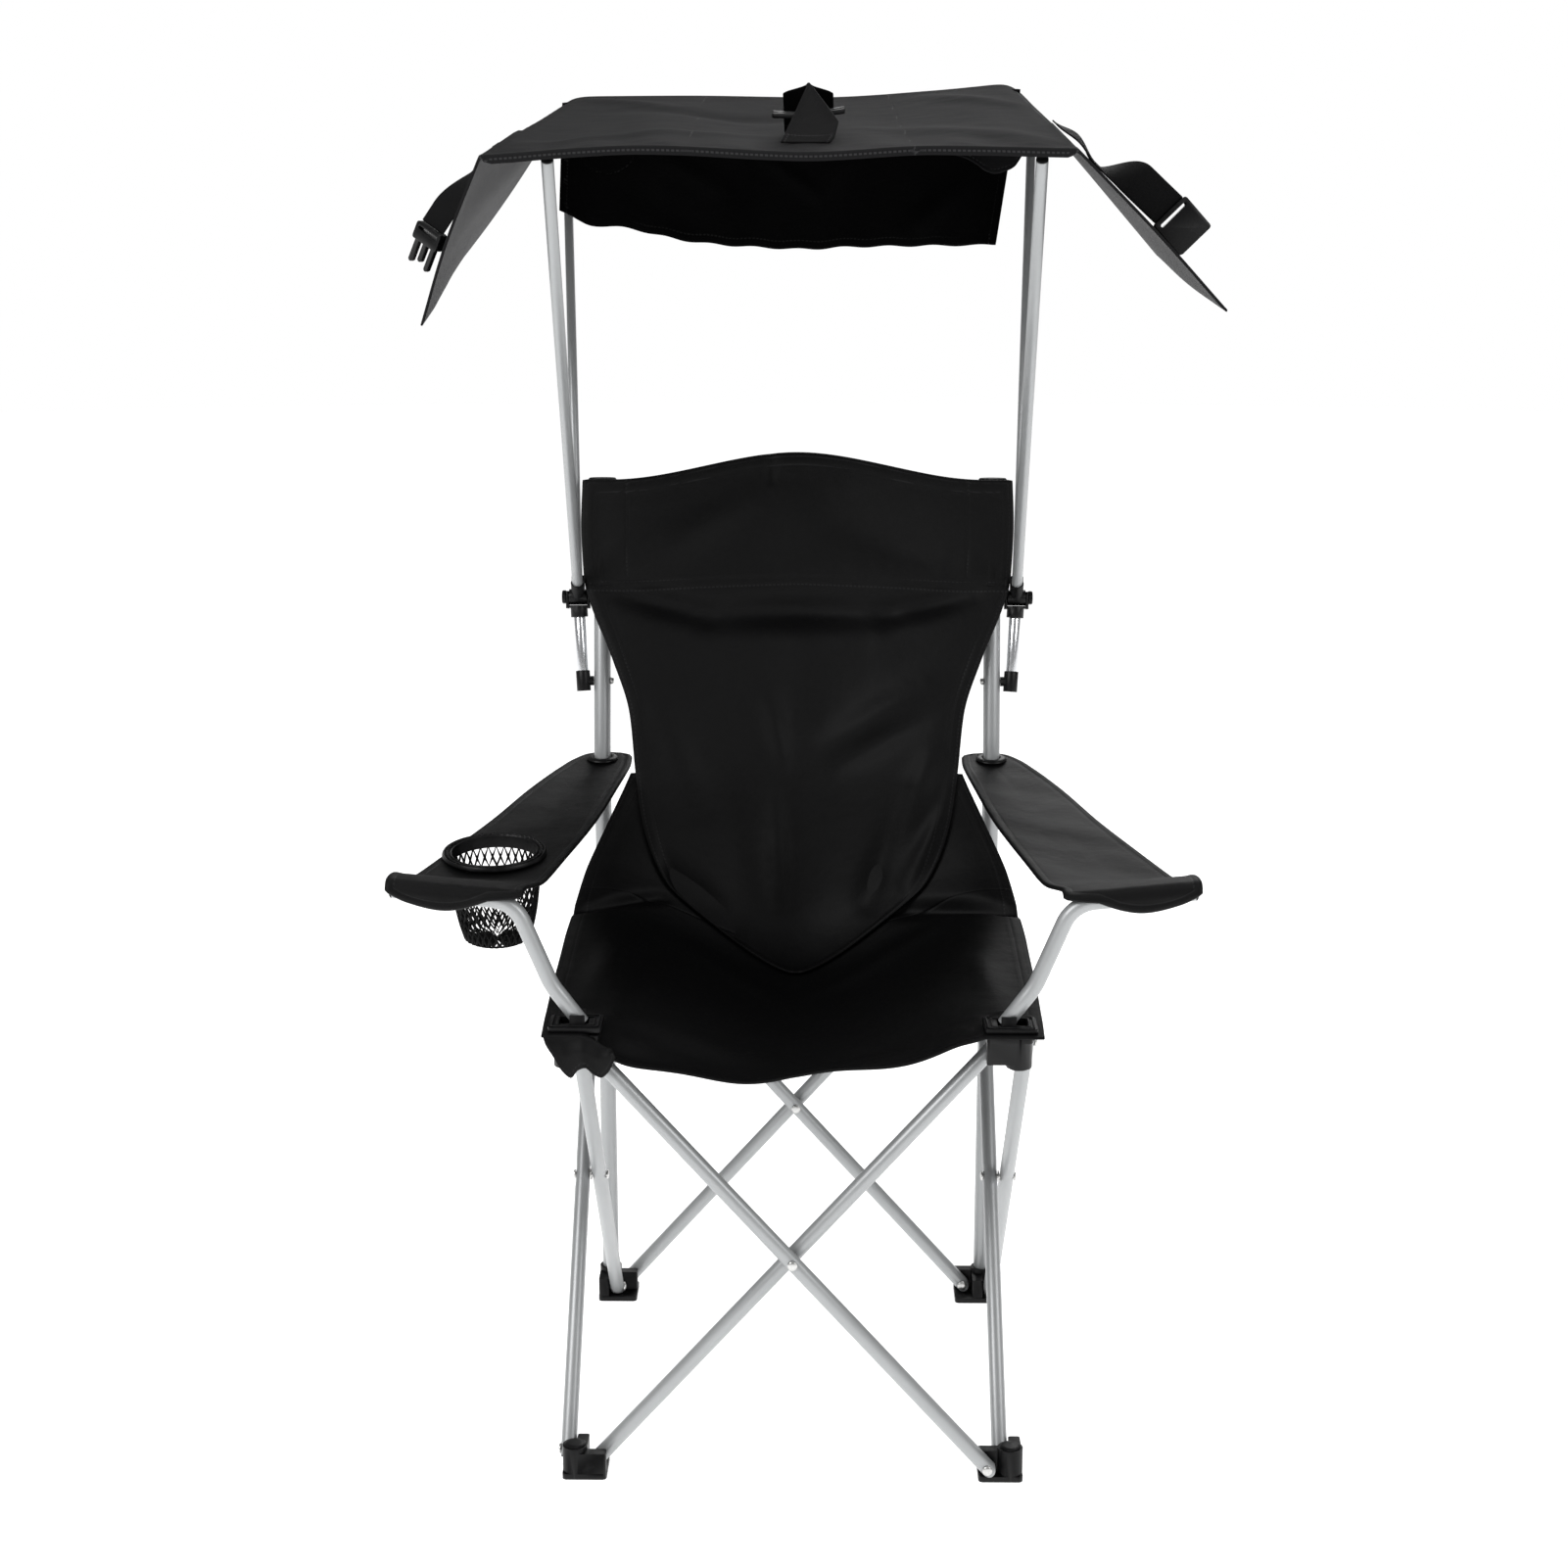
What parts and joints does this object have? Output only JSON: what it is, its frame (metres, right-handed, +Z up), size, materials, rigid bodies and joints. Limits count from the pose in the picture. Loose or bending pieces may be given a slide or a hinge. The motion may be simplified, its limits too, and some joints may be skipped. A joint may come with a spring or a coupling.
{
  "type": "folding camp chair with canopy",
  "caption": "Folding camp chair on crossed legs with cloth seat, back and arms, a net cup holder and a tilting sun canopy on side poles",
  "frame": {"origin": "centre of the bounding box on the floor", "axes": "+Z up, -Y the way the sitter faces, +X to the sitter's left"},
  "size_m": [0.8424, 0.7038, 1.4052],
  "materials": {
    "back_cloth": "black coated woven polyester",
    "canopy_cloth": "black coated polyester with a grey lining",
    "carry_handle": "black woven webbing",
    "cup_net": "black knitted net",
    "cup_ring": "black moulded plastic",
    "front_inner_tube": "silver-grey powder coat",
    "front_left_foot": "black moulded plastic",
    "front_left_hub": "black moulded plastic",
    "front_outer_tube": "silver-grey powder coat",
    "front_right_foot": "black moulded plastic",
    "front_right_hub": "black moulded plastic",
    "front_rivet": "zinc plated",
    "handle_buckle": "black moulded plastic",
    "left_arm_cloth": "black coated woven polyester",
    "left_arm_grommet": "black moulded plastic",
    "left_arm_post": "silver-grey powder coat",
    "left_back_post": "silver-grey powder coat",
    "left_bracket_bolt": "zinc plated",
    "left_front_pole": "silver-grey powder coat",
    "left_inner_tube": "silver-grey powder coat",
    "left_knuckle": "black moulded plastic",
    "left_mast": "bright drawn tube",
    "left_mast_bracket": "black moulded plastic",
    "left_mast_yoke": "black moulded plastic",
    "left_outer_tube": "silver-grey powder coat",
    "left_post_cap": "black moulded plastic",
    "left_rear_pole": "silver-grey powder coat",
    "left_rivet": "zinc plated",
    "left_seat_plate": "black moulded plastic",
    "left_strap": "black woven webbing",
    "left_strap_buckle": "black moulded plastic",
    "left_tilt_knob": "black moulded plastic",
    "rear_flap": "black coated polyester with a grey lining",
    "rear_inner_tube": "silver-grey powder coat",
    "rear_left_foot": "black moulded plastic",
    "rear_left_slider": "black moulded plastic",
    "rear_outer_tube": "silver-grey powder coat",
    "rear_right_foot": "black moulded plastic",
    "rear_right_slider": "black moulded plastic",
    "rear_rivet": "zinc plated",
    "right_arm_cloth": "black coated woven polyester",
    "right_arm_grommet": "black moulded plastic",
    "right_arm_post": "silver-grey powder coat",
    "right_back_post": "silver-grey powder coat",
    "right_bracket_bolt": "zinc plated",
    "right_front_pole": "silver-grey powder coat",
    "right_inner_tube": "silver-grey powder coat",
    "right_knuckle": "black moulded plastic",
    "right_mast": "bright drawn tube",
    "right_mast_bracket": "black moulded plastic",
    "right_mast_yoke": "black moulded plastic",
    "right_outer_tube": "silver-grey powder coat",
    "right_post_cap": "black moulded plastic",
    "right_rear_pole": "silver-grey powder coat",
    "right_rivet": "zinc plated",
    "right_seat_plate": "black moulded plastic",
    "right_strap": "black woven webbing",
    "right_strap_buckle": "black moulded plastic",
    "right_tilt_knob": "black moulded plastic",
    "seat_cloth": "black coated woven polyester"
  },
  "bodies": {
    "front_left_foot": {"front_left_foot": "front_left_foot"},
    "front_inner_tube": {"front_inner_tube": "front_inner_tube", "front_rivet": "front_rivet"},
    "front_outer_tube": {"front_outer_tube": "front_outer_tube"},
    "front_right_foot": {"front_right_foot": "front_right_foot"},
    "front_right_hub": {"front_right_hub": "front_right_hub", "right_seat_plate": "right_seat_plate"},
    "front_left_hub": {"front_left_hub": "front_left_hub", "left_seat_plate": "left_seat_plate"},
    "left_outer_tube": {"left_outer_tube": "left_outer_tube", "left_rivet": "left_rivet"},
    "left_inner_tube": {"left_inner_tube": "left_inner_tube"},
    "left_post": {"rear_left_foot": "rear_left_foot", "left_back_post": "left_back_post", "left_post_cap": "left_post_cap", "left_arm_grommet": "left_arm_grommet", "back_cloth": "back_cloth", "left_bracket_bolt": "left_bracket_bolt", "left_mast_bracket": "left_mast_bracket", "left_mast": "left_mast", "left_mast_yoke": "left_mast_yoke"},
    "rear_left_slider": {"rear_left_slider": "rear_left_slider"},
    "right_inner_tube": {"right_inner_tube": "right_inner_tube", "right_rivet": "right_rivet"},
    "right_outer_tube": {"right_outer_tube": "right_outer_tube"},
    "right_post": {"rear_right_foot": "rear_right_foot", "right_back_post": "right_back_post", "right_post_cap": "right_post_cap", "right_arm_grommet": "right_arm_grommet", "right_bracket_bolt": "right_bracket_bolt", "right_mast_bracket": "right_mast_bracket", "right_mast": "right_mast", "right_mast_yoke": "right_mast_yoke"},
    "rear_right_slider": {"rear_right_slider": "rear_right_slider"},
    "rear_outer_tube": {"rear_outer_tube": "rear_outer_tube", "rear_rivet": "rear_rivet"},
    "rear_inner_tube": {"rear_inner_tube": "rear_inner_tube"},
    "left_arm_post": {"left_arm_post": "left_arm_post"},
    "right_arm_post": {"right_arm_post": "right_arm_post"},
    "cup_holder": {"cup_ring": "cup_ring", "cup_net": "cup_net"},
    "left_canopy_arm": {"left_knuckle": "left_knuckle", "left_front_pole": "left_front_pole", "left_rear_pole": "left_rear_pole", "canopy_cloth": "canopy_cloth", "rear_flap": "rear_flap", "left_strap": "left_strap", "left_strap_buckle": "left_strap_buckle"},
    "right_canopy_arm": {"right_knuckle": "right_knuckle", "right_front_pole": "right_front_pole", "right_rear_pole": "right_rear_pole", "right_strap": "right_strap", "right_strap_buckle": "right_strap_buckle"},
    "carry_handle": {"carry_handle": "carry_handle", "handle_buckle": "handle_buckle"},
    "left_knob": {"left_tilt_knob": "left_tilt_knob"},
    "right_knob": {"right_tilt_knob": "right_tilt_knob"},
    "seat": {"seat_cloth": "seat_cloth"},
    "left_arm": {"left_arm_cloth": "left_arm_cloth"},
    "right_arm": {"right_arm_cloth": "right_arm_cloth"}
  },
  "joints": [
    {"name": "fold", "type": "hinge", "parent": "front_left_foot", "child": "front_inner_tube", "pos_m": [-0.20162, -0.32337, 0.0155], "axis": [0, -1, 0], "range_deg": [0, 36], "deforming": ["seat_cloth", "back_cloth", "left_arm_cloth", "right_arm_cloth", "canopy_cloth", "rear_flap"]},
    {"name": "front_cross_pivot", "type": "hinge", "parent": "front_inner_tube", "child": "front_outer_tube", "pos_m": [-0.00462, -0.33237, 0.23625], "axis": [0, 1, 0], "range_deg": [0, 72]},
    {"name": "front_right_foot_pivot", "type": "hinge", "parent": "front_outer_tube", "child": "front_right_foot", "pos_m": [0.19238, -0.34137, 0.0155], "axis": [0, -1, 0], "range_deg": [0, 36]},
    {"name": "front_right_hub_pivot", "type": "hinge", "parent": "front_inner_tube", "child": "front_right_hub", "pos_m": [0.19238, -0.32337, 0.457], "axis": [0, 1, 0], "range_deg": [0, 36]},
    {"name": "front_left_hub_pivot", "type": "hinge", "parent": "front_outer_tube", "child": "front_left_hub", "pos_m": [-0.20162, -0.34137, 0.457], "axis": [0, -1, 0], "range_deg": [0, 36]},
    {"name": "left_foot_pivot", "type": "hinge", "parent": "front_left_foot", "child": "left_outer_tube", "pos_m": [-0.23462, -0.30837, 0.0155], "axis": [1, 0, 0], "range_deg": [0, 36]},
    {"name": "left_cross_pivot", "type": "hinge", "parent": "left_outer_tube", "child": "left_inner_tube", "pos_m": [-0.22562, -0.11137, 0.23625], "axis": [-1, 0, 0], "range_deg": [0, 72]},
    {"name": "rear_left_foot_pivot", "type": "hinge", "parent": "left_inner_tube", "child": "left_post", "pos_m": [-0.21662, 0.08563, 0.0155], "axis": [1, 0, 0], "range_deg": [0, 36]},
    {"name": "rear_left_slider_pivot", "type": "hinge", "parent": "left_outer_tube", "child": "rear_left_slider", "pos_m": [-0.23462, 0.08563, 0.457], "axis": [-1, 0, 0], "range_deg": [0, 36]},
    {"name": "right_foot_pivot", "type": "hinge", "parent": "front_right_foot", "child": "right_inner_tube", "pos_m": [0.20738, -0.30837, 0.0155], "axis": [1, 0, 0], "range_deg": [0, 36]},
    {"name": "right_cross_pivot", "type": "hinge", "parent": "right_inner_tube", "child": "right_outer_tube", "pos_m": [0.21638, -0.11137, 0.23625], "axis": [-1, 0, 0], "range_deg": [0, 72]},
    {"name": "rear_right_foot_pivot", "type": "hinge", "parent": "right_outer_tube", "child": "right_post", "pos_m": [0.22538, 0.08563, 0.0155], "axis": [1, 0, 0], "range_deg": [0, 36]},
    {"name": "rear_right_slider_pivot", "type": "hinge", "parent": "right_inner_tube", "child": "rear_right_slider", "pos_m": [0.20738, 0.08563, 0.457], "axis": [-1, 0, 0], "range_deg": [0, 36]},
    {"name": "rear_foot_pivot", "type": "hinge", "parent": "left_post", "child": "rear_outer_tube", "pos_m": [-0.20162, 0.11863, 0.0155], "axis": [0, -1, 0], "range_deg": [0, 36]},
    {"name": "rear_cross_pivot", "type": "hinge", "parent": "rear_outer_tube", "child": "rear_inner_tube", "pos_m": [-0.00462, 0.10963, 0.23625], "axis": [0, 1, 0], "range_deg": [0, 72]},
    {"name": "left_arm_pivot", "type": "hinge", "parent": "front_left_hub", "child": "left_arm_post", "pos_m": [-0.21512, -0.32187, 0.483], "axis": [0, 1, 0], "range_deg": [0, 36]},
    {"name": "right_arm_pivot", "type": "hinge", "parent": "front_right_hub", "child": "right_arm_post", "pos_m": [0.20588, -0.32187, 0.483], "axis": [0, -1, 0], "range_deg": [0, 36]},
    {"name": "cup_holder_travel", "type": "slide", "parent": "front_left_hub", "child": "cup_holder", "axis": [0, -0.9336, -0.3584], "range_m": [0, 0.115]},
    {"name": "canopy_tilt", "type": "hinge", "parent": "left_post", "child": "left_canopy_arm", "pos_m": [-0.25292, 0.14292, 0.83125], "axis": [1, 0, 0], "range_deg": [-90, 20]},
    {"name": "right_canopy_tilt", "type": "hinge", "parent": "right_post", "child": "right_canopy_arm", "pos_m": [0.24368, 0.14292, 0.83125], "axis": [1, 0, 0], "range_deg": [-90, 20]},
    {"name": "handle_travel", "type": "slide", "parent": "left_canopy_arm", "child": "carry_handle", "axis": [-1, 0, 0], "range_m": [0, 0.168]},
    {"name": "left_knob_turn", "type": "hinge", "parent": "left_post", "child": "left_knob", "pos_m": [-0.25292, 0.14292, 0.83125], "axis": [-1, 0, 0], "continuous": true},
    {"name": "right_knob_turn", "type": "hinge", "parent": "right_post", "child": "right_knob", "pos_m": [0.24368, 0.14292, 0.83125], "axis": [1, 0, 0], "continuous": true},
    {"name": "seat_hang", "type": "hinge", "parent": "front_left_hub", "child": "seat", "pos_m": [-0.00462, -0.32187, 0.4739], "axis": [-1, 0, 0], "range_deg": [0, 88]},
    {"name": "left_arm_swing", "type": "hinge", "parent": "left_post", "child": "left_arm", "pos_m": [-0.22562, 0.10963, 0.651], "axis": [-0.841, 0.4033, 0.3606], "range_deg": [0, 77.1]},
    {"name": "right_arm_swing", "type": "hinge", "parent": "right_post", "child": "right_arm", "pos_m": [0.21638, 0.10963, 0.651], "axis": [-0.841, -0.4033, -0.3606], "range_deg": [0, 77.1]}
  ],
  "couplings": [
    {"joint": "front_cross_pivot", "follows": "fold", "ratio": 2},
    {"joint": "front_right_foot_pivot", "follows": "fold", "ratio": 1},
    {"joint": "front_right_hub_pivot", "follows": "fold", "ratio": 1},
    {"joint": "front_left_hub_pivot", "follows": "fold", "ratio": 1},
    {"joint": "left_foot_pivot", "follows": "fold", "ratio": 1},
    {"joint": "left_cross_pivot", "follows": "fold", "ratio": 2},
    {"joint": "rear_left_foot_pivot", "follows": "fold", "ratio": 1},
    {"joint": "rear_left_slider_pivot", "follows": "fold", "ratio": 1},
    {"joint": "right_foot_pivot", "follows": "fold", "ratio": 1},
    {"joint": "right_cross_pivot", "follows": "fold", "ratio": 2},
    {"joint": "rear_right_foot_pivot", "follows": "fold", "ratio": 1},
    {"joint": "rear_right_slider_pivot", "follows": "fold", "ratio": 1},
    {"joint": "rear_foot_pivot", "follows": "fold", "ratio": 1},
    {"joint": "rear_cross_pivot", "follows": "fold", "ratio": 2},
    {"joint": "left_arm_pivot", "follows": "fold", "ratio": 1},
    {"joint": "right_arm_pivot", "follows": "fold", "ratio": 1},
    {"joint": "cup_holder_travel", "follows": "fold", "m_per_rad": 0.1823},
    {"joint": "handle_travel", "follows": "fold", "m_per_rad": 0.2664},
    {"joint": "right_canopy_tilt", "follows": "canopy_tilt", "ratio": 1},
    {"joint": "seat_hang", "follows": "fold", "ratio": 2.4443},
    {"joint": "left_arm_swing", "follows": "fold", "ratio": 2.1413},
    {"joint": "right_arm_swing", "follows": "fold", "ratio": 2.1413}
  ]
}
